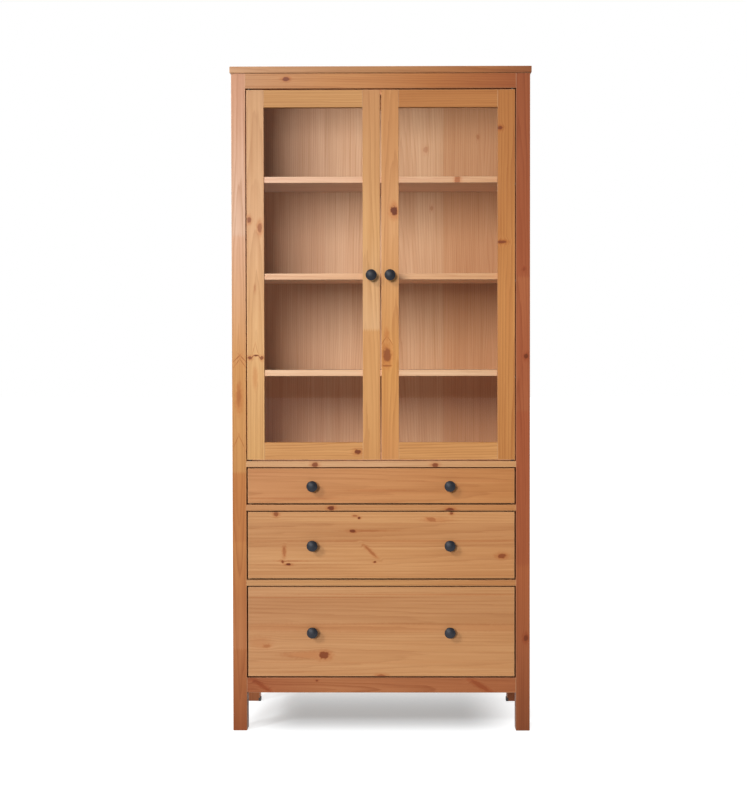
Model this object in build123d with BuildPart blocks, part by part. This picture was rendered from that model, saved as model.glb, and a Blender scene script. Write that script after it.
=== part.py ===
from build123d import *
import os

# Display cabinet in oiled pine: two glazed doors over three drawers, on four square posts.
# Millimetres, +Z up, the front faces -Y and +X is to the right of someone facing the front.
# The origin lies on the floor, under the middle of the whole cabinet with its knobs.
# A depth is counted from the front faces of the posts towards the back.

# Overall
overall_width = 900.0
overall_height = 1990.0
overall_depth = 370.0
top_thickness = 20.0
top_overhang = 4.0
top_ease = 2.5

# Posts and rails
post_width = 42.0
post_depth = 42.0
leg_clearance = 115.0
wide_rail_height = 45.0
top_rail_depth = 42.0
front_rail_depth = 32.0
divider_thickness = 18.0
rear_rail_thickness = 18.0
timber_ease = 1.2
foot_bevel = 1.5

# Openings for the drawers, each from the rail below it to the rail above it
upper_drawer_opening = 113.0
middle_drawer_opening = 208.0
lower_drawer_opening = 277.0

# Panels
side_panel_thickness = 12.0
side_panel_lip = 6.0
panel_groove_depth = 8.0
back_thickness = 6.0
back_recess = 14.0
back_groove_depth = 6.0
groove_play = 0.2

# Shelves on pins in the posts
shelf_thickness = 18.0
shelf_setback = 5.0
shelf_side_play = 1.0
shelf_back_play = 1.0
middle_shelf_drop = 11.5
shelf_step = 290.0
pin_hole_pitch = 58.0
pin_holes_each_way = 7
pin_radius = 2.5
pin_reach = 8.0
pin_head_radius = 3.5
pin_depth_in_post = 8.0
pin_wall = 1.5
pin_hole_extra = 1.0

# Doors
door_thickness = 20.0
door_stile_width = 52.0
door_rail_height = 52.0
door_side_gap = 3.0
door_centre_gap = 4.0
door_end_gap = 4.5
rebate_width = 8.0
rebate_depth = 12.0
glass_thickness = 4.0
glass_play = 1.0
bead_depth = 7.0

# Concealed pivots at the top and the foot of each door
pivot_inset = 8.0
pivot_from_front = 7.0
pivot_radius = 3.0
pivot_in_rail = 12.0
pivot_in_door = 14.0
pivot_collar_radius = 5.5
pivot_collar_height = 1.8
bush_radius = 4.5
bush_flange_radius = 5.5
bush_flange_play = 0.2
running_play = 0.05

# Stop strip behind the tops of the doors
stop_width = 96.0
stop_height = 14.0
stop_depth = 16.0
stop_play = 0.4

# Drawers
drawer_front_thickness = 20.0
drawer_side_gap = 4.0
drawer_gap_above = 3.5
drawer_gap_below = 4.5
drawer_back_space = 26.0
drawer_side_thickness = 12.0
drawer_back_thickness = 12.0
drawer_headroom = 18.0
drawer_bottom_thickness = 4.0
drawer_bottom_lift = 10.0
drawer_bottom_groove = 5.0
slide_play = 0.2

# Runners that the drawers slide on, with a stop block at the back of each
runner_width = 26.0
runner_thickness = 18.0
stop_block_width = 14.0
stop_block_height = 14.0
stop_block_length = 8.0
stop_block_play = 0.5

# Knobs and their screws
knob_head_radius = 16.5
knob_reach = 26.0
knob_rim_height = 2.6
knob_dome_height = 5.4
knob_neck_height = 12.0
knob_neck_radius = 7.0
knob_base_radius = 9.0
knob_tip_radius = 1.2
# The dome passes through a shoulder at these shares of the head's radius and the dome's height.
knob_shoulder_out = 0.62
knob_shoulder_down = 0.36
knob_spread = 412.0
screw_radius = 2.0
screw_in_knob = 12.0
screw_hole_play = 0.25
screw_head_radius = 4.0
screw_head_height = 2.4

# Dowels in the frame joints
dowel_radius = 4.0
dowel_length = 30.0
dowel_margin = 11.0
dowel_wall = 2.0
dowel_hole_extra = 1.0
tight_play = 0.05

# Black plastic feet let into the inner corners of the rear legs
rear_foot_height = 10.5
rear_foot_length = 22.0
rear_foot_in_leg = 4.0
rear_foot_proud = 3.5

# Holes for the two screws that hold the cabinet to the wall
wall_hole_radius = 2.75
wall_hole_spread = 400.0

# Places worked out from the sizes above
post_height = overall_height - top_thickness
body_half_width = overall_width / 2 - top_overhang
opening_half_width = body_half_width - post_width
body_depth = overall_depth - top_overhang
front_y = (knob_reach - body_depth) / 2
post_centre_x = body_half_width - post_width / 2

lower_drawer_z = leg_clearance + wide_rail_height
lower_divider_z = lower_drawer_z + lower_drawer_opening
middle_drawer_z = lower_divider_z + divider_thickness
upper_divider_z = middle_drawer_z + middle_drawer_opening
upper_drawer_z = upper_divider_z + divider_thickness
sill_z = upper_drawer_z + upper_drawer_opening
door_opening_z = sill_z + divider_thickness
top_rail_z = post_height - wide_rail_height

rear_post_depth = body_depth - post_depth
back_depth = body_depth - back_recess - back_thickness
rear_rail_depth = back_depth - rear_rail_thickness
drawer_length = back_depth - drawer_back_space
side_panel_x = opening_half_width + side_panel_lip

SIDES = {"left": -1, "right": 1}
ALONG = {"x": (0, 90, 0), "y": (90, 0, 0), "z": (0, 0, 0)}


def y_at(depth):
    """The y of a place that lies this far behind the posts' front faces."""
    return front_y + depth


def bar(x0, x1, d0, d1, z0, z1, mode=Mode.ADD):
    """A square-edged bar between two x, two depths and two heights, in the open part."""
    with BuildSketch(Plane.XY.offset(z0)) as outline:
        with Locations(((x0 + x1) / 2, y_at((d0 + d1) / 2))):
            Rectangle(abs(x1 - x0), d1 - d0)
    extrude(outline.sketch, amount=z1 - z0, mode=mode)


def rod(x, depth, z, along, radius, length, mode=Mode.ADD):
    """A round rod of this length, centred on a place and lying along x, y or z."""
    with Locations(Location((x, y_at(depth), z), ALONG[along])):
        Cylinder(radius, length, mode=mode)


def drill(spots, radius, length):
    """Round holes in the open part, one centred on each spot."""
    for x, depth, z, along in spots:
        rod(x, depth, z, along, radius, length, mode=Mode.SUBTRACT)


def finish(piece, name):
    """Label a finished piece and write its file."""
    piece.part.label = name
    export_step(piece.part, f"parts/{name}.step")


# Dowels: one spot for each, on the face where its two pieces of timber meet

def upright_spots(rail_z, depth):
    """Dowel spots for both ends of a wide rail: two at each end, one over the other."""
    heights = (rail_z + dowel_margin, rail_z + wide_rail_height - dowel_margin)
    return [(side * opening_half_width, depth, z, "x")
            for side in SIDES.values() for z in heights]


def level_spots(rail_z):
    """Dowel spots for both ends of a thin rail: two side by side, behind the door pivots."""
    reach = dowel_radius + dowel_wall
    depths = (pivot_from_front + pivot_radius + reach, front_rail_depth - reach)
    middle_z = rail_z + divider_thickness / 2
    return [(side * opening_half_width, depth, middle_z, "x")
            for side in SIDES.values() for depth in depths]


top_rail_dowels = upright_spots(top_rail_z, top_rail_depth / 2)
bottom_rail_dowels = upright_spots(leg_clearance, front_rail_depth / 2)
sill_dowels = level_spots(sill_z)
upper_divider_dowels = level_spots(upper_divider_z)
lower_divider_dowels = level_spots(lower_divider_z)
rear_rail_middle = rear_rail_depth + rear_rail_thickness / 2
rear_top_dowels = upright_spots(top_rail_z, rear_rail_middle)
rear_bottom_dowels = upright_spots(leg_clearance, rear_rail_middle)

side_rail_dowels = []
for side in SIDES.values():
    for rail_z in (leg_clearance, top_rail_z):
        for joint_depth in (post_depth, rear_post_depth):
            for inset in (dowel_margin, wide_rail_height - dowel_margin):
                # The dowels keep outside the groove that holds the side panel.
                dowel_x = side * (body_half_width - dowel_margin)
                side_rail_dowels.append((dowel_x, joint_depth, rail_z + inset, "y"))

top_dowels = []
for side in SIDES.values():
    for post_middle in (post_depth / 2, body_depth - post_depth / 2):
        top_dowels.append((side * post_centre_x, post_middle, post_height, "z"))
# A dowel in the top panel is short, so that it stays inside the panel.
top_dowel_length = top_thickness

cross_rail_dowels = (top_rail_dowels + bottom_rail_dowels + sill_dowels + upper_divider_dowels
                     + lower_divider_dowels + rear_top_dowels + rear_bottom_dowels)
dowel_hole_radius = dowel_radius + tight_play
dowel_hole_length = dowel_length + 2 * dowel_hole_extra
top_hole_length = top_dowel_length + 2 * dowel_hole_extra


def spots_in(spots, side, front):
    """The spots that belong to one post: its side of the cabinet, and front or rear."""
    middle = body_depth / 2
    return [spot for spot in spots if spot[0] * side > 0 and (spot[1] < middle) == front]


# Shelf pins: a row of holes in the inner face of each post, and a pin under each shelf corner

def shelf_bottom(step):
    """The underside of a shelf this many steps above the middle one, which lies behind the
    middle of the doors."""
    middle = (door_opening_z + top_rail_z) / 2
    return middle - middle_shelf_drop + step * shelf_step


def pin_z(shelf_underside):
    """A pin's centre, so that the shelf rests on its head."""
    return shelf_underside - pin_head_radius


# The holes stay clear of the groove that holds the side panel.
pin_setback = panel_groove_depth + pin_radius + pin_wall
front_pin_depth = post_depth - pin_setback
rear_pin_depth = rear_post_depth + pin_setback
pin_hole_radius = pin_radius + tight_play
pin_hole_depth = pin_depth_in_post + pin_hole_extra


def pin_holes(side, depth):
    """The row of pin holes in one post."""
    x = side * (opening_half_width + pin_hole_depth / 2)
    for step in range(-pin_holes_each_way, pin_holes_each_way + 1):
        z = pin_z(shelf_bottom(0)) + step * pin_hole_pitch
        rod(x, depth, z, "x", pin_hole_radius, pin_hole_depth, mode=Mode.SUBTRACT)


# Top panel

def make_top_panel():
    """A solid top with softened edges, level with the backs of the rear posts."""
    half = overall_width / 2
    with BuildPart() as piece:
        bar(-half, half, -top_overhang, body_depth, post_height, overall_height)
        top_edges = piece.faces().sort_by(Axis.Z)[-1].edges()
        bottom_edges = piece.faces().sort_by(Axis.Z)[0].edges()
        fillet(top_edges + bottom_edges, min(top_ease, top_thickness / 3))
        drill(top_dowels, dowel_hole_radius, top_hole_length)
    finish(piece, "top_panel")


# Posts

def make_post(name, side, front):
    """A square post with its grooves, dowel holes, pin holes and bevelled foot."""
    d0 = 0 if front else rear_post_depth
    x0 = side * opening_half_width
    x1 = side * body_half_width
    with BuildPart() as piece:
        bar(x0, x1, d0, d0 + post_depth, 0, post_height)
        chamfer(piece.faces().sort_by(Axis.Z)[0].edges(), foot_bevel)
        fillet(piece.edges().filter_by(Axis.Z), timber_ease)
        # Groove for the side panel
        groove_d0 = post_depth - panel_groove_depth if front else rear_post_depth
        panel_x0 = side * (side_panel_x - groove_play / 2)
        panel_x1 = side * (side_panel_x + side_panel_thickness + groove_play / 2)
        bar(panel_x0, panel_x1, groove_d0, groove_d0 + panel_groove_depth,
            leg_clearance, post_height, mode=Mode.SUBTRACT)
        if not front:
            # Groove for the back panel, and the notch for the black foot
            bar(x0, side * (opening_half_width + back_groove_depth), back_depth - groove_play / 2,
                back_depth + back_thickness + groove_play / 2, leg_clearance, post_height,
                mode=Mode.SUBTRACT)
            bar(x0, side * (opening_half_width + rear_foot_in_leg), rear_post_depth,
                rear_post_depth + rear_foot_length, 0, rear_foot_height, mode=Mode.SUBTRACT)
        drill(spots_in(cross_rail_dowels, side, front), dowel_hole_radius, dowel_hole_length)
        drill(spots_in(side_rail_dowels, side, front), dowel_hole_radius, dowel_hole_length)
        drill(spots_in(top_dowels, side, front), dowel_hole_radius, top_hole_length)
        pin_holes(side, front_pin_depth if front else rear_pin_depth)
    finish(piece, name)


# Rails that run from side to side

def make_cross_rail(name, z0, z1, d0, d1, dowels, pivots=False, wall_holes=False):
    """A rail between the posts, with its dowel holes and any pivot or wall screw holes."""
    half = opening_half_width
    with BuildPart() as piece:
        bar(-half, half, d0, d1, z0, z1)
        fillet(piece.edges().filter_by(Axis.X), timber_ease)
        drill(dowels, dowel_hole_radius, dowel_hole_length)
        if pivots:
            below_doors = z1 < door_opening_z + door_end_gap
            pivot_z = z1 - pivot_in_rail / 2 if below_doors else z0 + pivot_in_rail / 2
            for side in SIDES.values():
                rod(pivot_x(side), pivot_from_front, pivot_z, "z",
                    pivot_radius + tight_play, pivot_in_rail, mode=Mode.SUBTRACT)
        if wall_holes:
            for side in SIDES.values():
                rod(side * wall_hole_spread / 2, (d0 + d1) / 2, (z0 + z1) / 2, "y",
                    wall_hole_radius, d1 - d0, mode=Mode.SUBTRACT)
    finish(piece, name)


# Sides

def make_side_rails():
    """Four rails from front to back: one over and one under each side panel."""
    with BuildPart() as piece:
        for side in SIDES.values():
            for z0 in (leg_clearance, top_rail_z):
                bar(side * opening_half_width, side * body_half_width, post_depth,
                    rear_post_depth, z0, z0 + wide_rail_height)
        fillet(piece.edges().filter_by(Axis.Y), timber_ease)
        for side in SIDES.values():
            groove_x0 = side * (side_panel_x - groove_play / 2)
            groove_x1 = side * (side_panel_x + side_panel_thickness + groove_play / 2)
            for z0 in (lower_drawer_z - panel_groove_depth, top_rail_z):
                bar(groove_x0, groove_x1, post_depth, rear_post_depth, z0,
                    z0 + panel_groove_depth, mode=Mode.SUBTRACT)
        drill(side_rail_dowels, dowel_hole_radius, dowel_hole_length)
    finish(piece, "side_rails")


def make_side_panel(name, side):
    """A thin panel whose edges lie in the grooves of the posts and side rails."""
    tongue = panel_groove_depth - groove_play
    with BuildPart() as piece:
        bar(side * side_panel_x, side * (side_panel_x + side_panel_thickness),
            post_depth - tongue, rear_post_depth + tongue,
            lower_drawer_z - tongue, top_rail_z + tongue)
    finish(piece, name)


def make_back_panel():
    """One thin veneered panel behind the rear rails, let into the rear posts."""
    half = opening_half_width + back_groove_depth - groove_play
    with BuildPart() as piece:
        bar(-half, half, back_depth, back_depth + back_thickness, leg_clearance, post_height)
        for side in SIDES.values():
            rod(side * wall_hole_spread / 2, back_depth + back_thickness / 2,
                top_rail_z + wide_rail_height / 2, "y", wall_hole_radius, back_thickness,
                mode=Mode.SUBTRACT)
    finish(piece, "back_panel")


def make_compartment_floor():
    """The floor of the glazed part, fitted round the four posts."""
    with BuildPart() as piece:
        bar(-opening_half_width, opening_half_width, front_rail_depth, back_depth,
            sill_z, door_opening_z)
        bar(-side_panel_x, side_panel_x, post_depth, rear_post_depth, sill_z, door_opening_z)
    finish(piece, "compartment_floor")


# Shelves and their pins

def make_shelf(name, step):
    """A loose shelf with softened long edges."""
    half = opening_half_width - shelf_side_play
    z0 = shelf_bottom(step)
    with BuildPart() as piece:
        bar(-half, half, door_thickness + shelf_setback, back_depth - shelf_back_play,
            z0, z0 + shelf_thickness)
        fillet(piece.edges().filter_by(Axis.X), timber_ease)
    finish(piece, name)


def make_shelf_pins():
    """Four pins under each shelf: a thin shank in the post and a thicker head outside it."""
    with BuildPart() as piece:
        for step in (-1, 0, 1):
            z = pin_z(shelf_bottom(step))
            for side in SIDES.values():
                shank_x = side * (opening_half_width + pin_depth_in_post / 2)
                head_x = side * (opening_half_width - pin_reach / 2)
                for depth in (front_pin_depth, rear_pin_depth):
                    rod(shank_x, depth, z, "x", pin_radius, pin_depth_in_post)
                    rod(head_x, depth, z, "x", pin_head_radius, pin_reach)
    finish(piece, "shelf_pins")


# Dowels

def make_rail_dowels():
    """Beech dowels in every joint of the frame and under the top panel."""
    with BuildPart() as piece:
        for x, depth, z, along in cross_rail_dowels + side_rail_dowels:
            rod(x, depth, z, along, dowel_radius, dowel_length)
        for x, depth, z, along in top_dowels:
            rod(x, depth, z, along, dowel_radius, top_dowel_length)
    finish(piece, "rail_dowels")


# Runners and stop blocks

def make_drawer_runners():
    """A pair of runners for each drawer, each with a block that stops the drawer."""
    stop_d0 = drawer_length + stop_block_play
    with BuildPart() as piece:
        for z in (upper_drawer_z, middle_drawer_z, lower_drawer_z):
            on_rear_rail = z == lower_drawer_z
            runner_end = rear_rail_depth if on_rear_rail else back_depth
            for side in SIDES.values():
                bar(side * (opening_half_width - runner_width), side * opening_half_width,
                    front_rail_depth, runner_end, z - runner_thickness, z)
    with BuildPart() as blocks:
        for z in (upper_drawer_z, middle_drawer_z, lower_drawer_z):
            for side in SIDES.values():
                bar(side * (opening_half_width - stop_block_width), side * opening_half_width,
                    stop_d0, stop_d0 + stop_block_length, z, z + stop_block_height)
    group = Compound(children=piece.solids() + blocks.solids())
    group.label = "drawer_runners"
    export_step(group, "parts/drawer_runners.step")


# Doors

door_z0 = door_opening_z + door_end_gap
door_z1 = top_rail_z - door_end_gap
door_outer_x = opening_half_width - door_side_gap
door_inner_x = door_centre_gap / 2
knob_x = door_inner_x + door_stile_width / 2
door_middle_z = (door_z0 + door_z1) / 2
bead_width = rebate_width
glass_depth = door_thickness - rebate_depth


def pivot_x(side):
    """The x of a door's pivots, near its outer edge."""
    return side * (opening_half_width - door_side_gap - pivot_inset)


def make_outer_stile(name, side):
    """The stile at the pivots, with a rebate for the glass and a bore for each bush."""
    x_out = side * door_outer_x
    x_in = side * (door_outer_x - door_stile_width)
    with BuildPart() as piece:
        bar(x_in, x_out, 0, door_thickness, door_z0, door_z1)
        fillet(piece.edges().filter_by(Axis.Z), timber_ease)
        cut_rebate(x_in, side)
        bush_z = bush_length() / 2
        for z in (door_z0 + bush_z, door_z1 - bush_z):
            rod(pivot_x(side), pivot_from_front, z, "z", bush_radius + tight_play,
                bush_length(), mode=Mode.SUBTRACT)
    finish(piece, name)


def make_inner_stile(name, side):
    """The stile at the middle of the cabinet, with the knob's screw hole."""
    x_out = side * door_inner_x
    x_in = side * (door_inner_x + door_stile_width)
    with BuildPart() as piece:
        bar(x_in, x_out, 0, door_thickness, door_z0, door_z1)
        fillet(piece.edges().filter_by(Axis.Z), timber_ease)
        cut_rebate(x_in, -side)
        rod(side * knob_x, door_thickness / 2, door_middle_z, "y",
            screw_radius + screw_hole_play, door_thickness, mode=Mode.SUBTRACT)
    finish(piece, name)


def cut_rebate(x_edge, way):
    """Cut the glass rebate in a stile's inner edge; way points from the edge into the stile."""
    bar(x_edge, x_edge + way * rebate_width, glass_depth, door_thickness,
        door_z0 + door_rail_height - rebate_width, door_z1 - door_rail_height + rebate_width,
        mode=Mode.SUBTRACT)


def make_door_rails(name, side):
    """The top and bottom rails of a door, butted between its stiles."""
    x0 = side * (door_inner_x + door_stile_width)
    x1 = side * (door_outer_x - door_stile_width)
    with BuildPart() as piece:
        for z0 in (door_z0, door_z1 - door_rail_height):
            bar(x0, x1, 0, door_thickness, z0, z0 + door_rail_height)
        fillet(piece.edges().filter_by(Axis.X), timber_ease)
        for z0 in (door_z0 + door_rail_height - rebate_width, door_z1 - door_rail_height):
            bar(x0, x1, glass_depth, door_thickness, z0, z0 + rebate_width, mode=Mode.SUBTRACT)
    finish(piece, name)


# The space in the door frame that the glass and its beads fill, rebate included
glazing_inner_x = door_inner_x + door_stile_width - rebate_width
glazing_outer_x = door_outer_x - door_stile_width + rebate_width
glazing_z0 = door_z0 + door_rail_height - rebate_width
glazing_z1 = door_z1 - door_rail_height + rebate_width


def make_glass(name, side):
    """The pane, resting in the rebate on its front lip."""
    with BuildPart() as piece:
        bar(side * (glazing_inner_x + glass_play), side * (glazing_outer_x - glass_play),
            glass_depth, glass_depth + glass_thickness,
            glazing_z0 + glass_play, glazing_z1 - glass_play)
    finish(piece, name)


def make_beads(name, side):
    """Four strips behind the glass that hold it in the frame."""
    d0 = glass_depth + glass_thickness
    inner_x = side * glazing_inner_x
    outer_x = side * glazing_outer_x
    solids = []
    for x, way in ((inner_x, side), (outer_x, -side)):
        with BuildPart() as upright:
            bar(x, x + way * bead_width, d0, d0 + bead_depth, glazing_z0, glazing_z1)
        solids += upright.solids()
    for z0 in (glazing_z0, glazing_z1 - bead_width):
        with BuildPart() as level:
            bar(inner_x + side * bead_width, outer_x - side * bead_width, d0, d0 + bead_depth,
                z0, z0 + bead_width)
        solids += level.solids()
    group = Compound(children=solids)
    group.label = name
    export_step(group, f"parts/{name}.step")


def bush_length():
    """The part of a bush that lies in the door."""
    return pivot_in_door + dowel_hole_extra


def make_hinge_bushes(name, side):
    """A flanged bush in each end of the outer stile."""
    flange = door_end_gap - pivot_collar_height - bush_flange_play
    with BuildPart() as piece:
        for z_end, way in ((door_z0, 1), (door_z1, -1)):
            inside = z_end + way * bush_length() / 2
            outside = z_end - way * flange / 2
            rod(pivot_x(side), pivot_from_front, inside, "z", bush_radius, bush_length())
            rod(pivot_x(side), pivot_from_front, outside, "z", bush_flange_radius, flange)
            rod(pivot_x(side), pivot_from_front, inside, "z", pivot_radius + running_play,
                bush_length(), mode=Mode.SUBTRACT)
            rod(pivot_x(side), pivot_from_front, outside, "z", pivot_radius + running_play,
                flange, mode=Mode.SUBTRACT)
    finish(piece, name)


def make_hinge_pins():
    """Four pins with collars, pressed into the rails over and under the doors."""
    reach = door_end_gap + pivot_in_door
    with BuildPart() as piece:
        for side in SIDES.values():
            for z_rail, way in ((door_opening_z, 1), (top_rail_z, -1)):
                x = pivot_x(side)
                shank = pivot_in_rail + reach
                shank_z = z_rail + way * (reach - pivot_in_rail) / 2
                collar_z = z_rail + way * pivot_collar_height / 2
                rod(x, pivot_from_front, shank_z, "z", pivot_radius, shank)
                rod(x, pivot_from_front, collar_z, "z", pivot_collar_radius,
                    pivot_collar_height)
    finish(piece, "hinge_pins")


def make_door_stop():
    """A strip under the top rail that both doors close against."""
    d0 = door_thickness + stop_play
    with BuildPart() as piece:
        bar(-stop_width / 2, stop_width / 2, d0, d0 + stop_depth,
            top_rail_z - stop_height, top_rail_z)
        fillet(piece.edges().filter_by(Axis.X), timber_ease)
    finish(piece, "door_stop")


# Knobs

def turn_knob(x, z):
    """A turned knob in the open part: a waisted neck under a gently domed head with a rim."""
    foot = front_y
    neck_end = foot - knob_neck_height
    rim_low = foot - knob_reach + knob_dome_height + knob_rim_height
    rim_high = foot - knob_reach + knob_dome_height
    tip = foot - knob_reach
    waist = (x + knob_neck_radius, foot - knob_neck_height / 2)
    shoulder = (x + knob_head_radius * knob_shoulder_out,
                tip + knob_dome_height * knob_shoulder_down)
    with BuildSketch(Plane.XY.offset(z)) as half_section:
        with BuildLine():
            Line((x, foot), (x + knob_base_radius, foot))
            ThreePointArc((x + knob_base_radius, foot), waist,
                          (x + knob_base_radius, neck_end))
            Line((x + knob_base_radius, neck_end), (x + knob_head_radius, rim_low))
            Line((x + knob_head_radius, rim_low), (x + knob_head_radius, rim_high))
            ThreePointArc((x + knob_head_radius, rim_high), shoulder,
                          (x + knob_tip_radius, tip))
            Line((x + knob_tip_radius, tip), (x, tip))
            Line((x, tip), (x, foot))
        make_face()
    revolve(half_section.sketch, axis=Axis((x, foot, z), (0, 1, 0)))
    screw_bore = screw_in_knob + dowel_hole_extra
    rod(x, -screw_bore / 2, z, "y", screw_radius + tight_play, screw_bore, mode=Mode.SUBTRACT)


def make_knobs(name, places):
    """One knob at each place."""
    with BuildPart() as piece:
        for x, z in places:
            turn_knob(x, z)
    finish(piece, name)


def make_knob_screws(name, places, thickness):
    """A screw for each knob, with its head behind a front of this thickness."""
    shank = thickness + screw_in_knob
    with BuildPart() as piece:
        for x, z in places:
            rod(x, thickness - shank / 2, z, "y", screw_radius, shank)
            rod(x, thickness + screw_head_height / 2, z, "y", screw_head_radius,
                screw_head_height)
    finish(piece, name)


# Drawers

drawer_half_width = opening_half_width - drawer_side_gap
drawer_inner_x = drawer_half_width - drawer_side_thickness


def make_drawer(name, z_open, height):
    """All the pieces of the drawer that fills an opening of this height."""
    front_z0 = z_open + drawer_gap_below
    front_z1 = z_open + height - drawer_gap_above
    side_z0 = z_open + slide_play
    side_z1 = z_open + height - drawer_headroom
    bottom_z0 = side_z0 + drawer_bottom_lift
    bottom_z1 = bottom_z0 + drawer_bottom_thickness
    bottom_half = drawer_inner_x + drawer_bottom_groove
    bottom_d0 = drawer_front_thickness - drawer_bottom_groove
    knob_z = (front_z0 + front_z1) / 2
    places = [(side * knob_spread / 2, knob_z) for side in SIDES.values()]

    with BuildPart() as front:
        bar(-drawer_half_width, drawer_half_width, 0, drawer_front_thickness,
            front_z0, front_z1)
        front_face = front.faces().sort_by(Axis.Y)[0]
        fillet(front_face.edges(), timber_ease)
        bar(-bottom_half, bottom_half, bottom_d0, drawer_front_thickness,
            bottom_z0, bottom_z1, mode=Mode.SUBTRACT)
        for x, z in places:
            rod(x, drawer_front_thickness / 2, z, "y", screw_radius + screw_hole_play,
                drawer_front_thickness, mode=Mode.SUBTRACT)
    finish(front, f"{name}_front")

    with BuildPart() as sides:
        for side in SIDES.values():
            bar(side * drawer_inner_x, side * drawer_half_width, drawer_front_thickness,
                drawer_length, side_z0, side_z1)
            bar(side * drawer_inner_x, side * bottom_half, drawer_front_thickness,
                drawer_length, bottom_z0, bottom_z1, mode=Mode.SUBTRACT)
    finish(sides, f"{name}_sides")

    with BuildPart() as back:
        bar(-drawer_inner_x, drawer_inner_x, drawer_length - drawer_back_thickness,
            drawer_length, bottom_z1, side_z1)
    finish(back, f"{name}_back")

    with BuildPart() as bottom:
        bar(-bottom_half, bottom_half, bottom_d0, drawer_length, bottom_z0, bottom_z1)
    finish(bottom, f"{name}_bottom")

    make_knobs(f"{name}_knobs", places)
    make_knob_screws(f"{name}_knob_screws", places, drawer_front_thickness)


# Feet

def make_rear_feet():
    """A small black block let into the inner corner of each rear leg, a little proud of it."""
    with BuildPart() as piece:
        for side in SIDES.values():
            bar(side * (opening_half_width - rear_foot_proud),
                side * (opening_half_width + rear_foot_in_leg), rear_post_depth,
                rear_post_depth + rear_foot_length, 0, rear_foot_height)
    finish(piece, "rear_feet")


def make_cabinet():
    """Write every piece."""
    os.makedirs("parts", exist_ok=True)
    make_top_panel()
    for word, side in SIDES.items():
        make_post(f"front_{word}_post", side, True)
        make_post(f"rear_{word}_post", side, False)
        make_side_panel(f"{word}_side_panel", side)
    make_cross_rail("front_top_rail", top_rail_z, post_height, 0, top_rail_depth,
                    top_rail_dowels, pivots=True)
    make_cross_rail("door_sill_rail", sill_z, door_opening_z, 0, front_rail_depth,
                    sill_dowels, pivots=True)
    make_cross_rail("upper_drawer_rail", upper_divider_z, upper_drawer_z, 0,
                    front_rail_depth, upper_divider_dowels)
    make_cross_rail("lower_drawer_rail", lower_divider_z, middle_drawer_z, 0,
                    front_rail_depth, lower_divider_dowels)
    make_cross_rail("front_bottom_rail", leg_clearance, lower_drawer_z, 0,
                    front_rail_depth, bottom_rail_dowels)
    make_cross_rail("rear_top_rail", top_rail_z, post_height, rear_rail_depth, back_depth,
                    rear_top_dowels, wall_holes=True)
    make_cross_rail("rear_bottom_rail", leg_clearance, lower_drawer_z, rear_rail_depth,
                    back_depth, rear_bottom_dowels)
    make_side_rails()
    make_back_panel()
    make_compartment_floor()
    for name, step in (("upper_shelf", 1), ("middle_shelf", 0), ("lower_shelf", -1)):
        make_shelf(name, step)
    make_shelf_pins()
    make_rail_dowels()
    make_drawer_runners()
    make_door_stop()
    make_hinge_pins()
    make_rear_feet()
    for word, side in SIDES.items():
        knob_place = [(side * knob_x, door_middle_z)]
        make_outer_stile(f"{word}_door_outer_stile", side)
        make_inner_stile(f"{word}_door_inner_stile", side)
        make_door_rails(f"{word}_door_rails", side)
        make_glass(f"{word}_door_glass", side)
        make_beads(f"{word}_door_glazing_beads", side)
        make_hinge_bushes(f"{word}_door_hinge_bushes", side)
        make_knobs(f"{word}_door_knob", knob_place)
        make_knob_screws(f"{word}_door_knob_screw", knob_place, door_thickness)
    make_drawer("upper_drawer", upper_drawer_z, upper_drawer_opening)
    make_drawer("middle_drawer", middle_drawer_z, middle_drawer_opening)
    make_drawer("lower_drawer", lower_drawer_z, lower_drawer_opening)


make_cabinet()
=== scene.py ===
# %% [markdown]
# # A display cabinet in oiled pine
#
# The real object is a tall cabinet: two glazed doors with three shelves behind them, three
# drawers below, and four square posts that reach the floor as legs. Its solids come finished
# from the CAD model, in metres, with the front facing -Y. This lesson gives them their wood,
# glass and metal, sets up the light and the camera, and turns the knobs again as smooth shapes.
# The first step loads the solids. They stay where they are, because other programs share them.

# %% Load the solids
import math
import bmesh
import bpy
from mathutils import Euler, Matrix, Vector


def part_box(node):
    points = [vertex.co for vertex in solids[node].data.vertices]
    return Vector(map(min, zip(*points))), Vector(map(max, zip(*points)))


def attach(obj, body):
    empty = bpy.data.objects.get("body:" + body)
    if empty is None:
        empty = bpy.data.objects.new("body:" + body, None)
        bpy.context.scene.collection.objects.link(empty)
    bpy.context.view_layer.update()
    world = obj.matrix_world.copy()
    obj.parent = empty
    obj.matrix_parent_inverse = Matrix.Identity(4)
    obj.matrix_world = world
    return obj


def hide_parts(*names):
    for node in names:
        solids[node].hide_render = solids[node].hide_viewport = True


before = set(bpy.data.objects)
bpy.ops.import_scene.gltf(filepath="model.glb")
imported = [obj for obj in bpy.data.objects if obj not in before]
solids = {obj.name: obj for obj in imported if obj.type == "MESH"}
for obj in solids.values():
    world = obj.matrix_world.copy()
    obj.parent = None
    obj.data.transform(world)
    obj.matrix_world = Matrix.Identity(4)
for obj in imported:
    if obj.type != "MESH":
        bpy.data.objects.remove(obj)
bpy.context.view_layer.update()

# %% [markdown]
# ## The camera
#
# The photograph was taken from nearly 4 m in front of the cabinet, a little right of its middle
# and about as high as the lower shelf. A camera can be placed by eye, but then every edge is a little off. These numbers were fitted to edges measured in the
# picture instead: the posts, the top, the shelves and the feet. The lens axis doesn't meet the
# middle of the picture, so a small shift moves the frame.

# %% Place the camera
MM = 0.001
picture_width, picture_height = 747, 799
focal_length_in_pixels = 1257.4
axis_in_picture = (397.12, 378.89)
camera_place = Vector((75.4, -3931.9, 1127.9)) * MM
turned_left, tilted_down, rolled = (math.radians(a) for a in (0.409, 1.057, -0.073))

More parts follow.
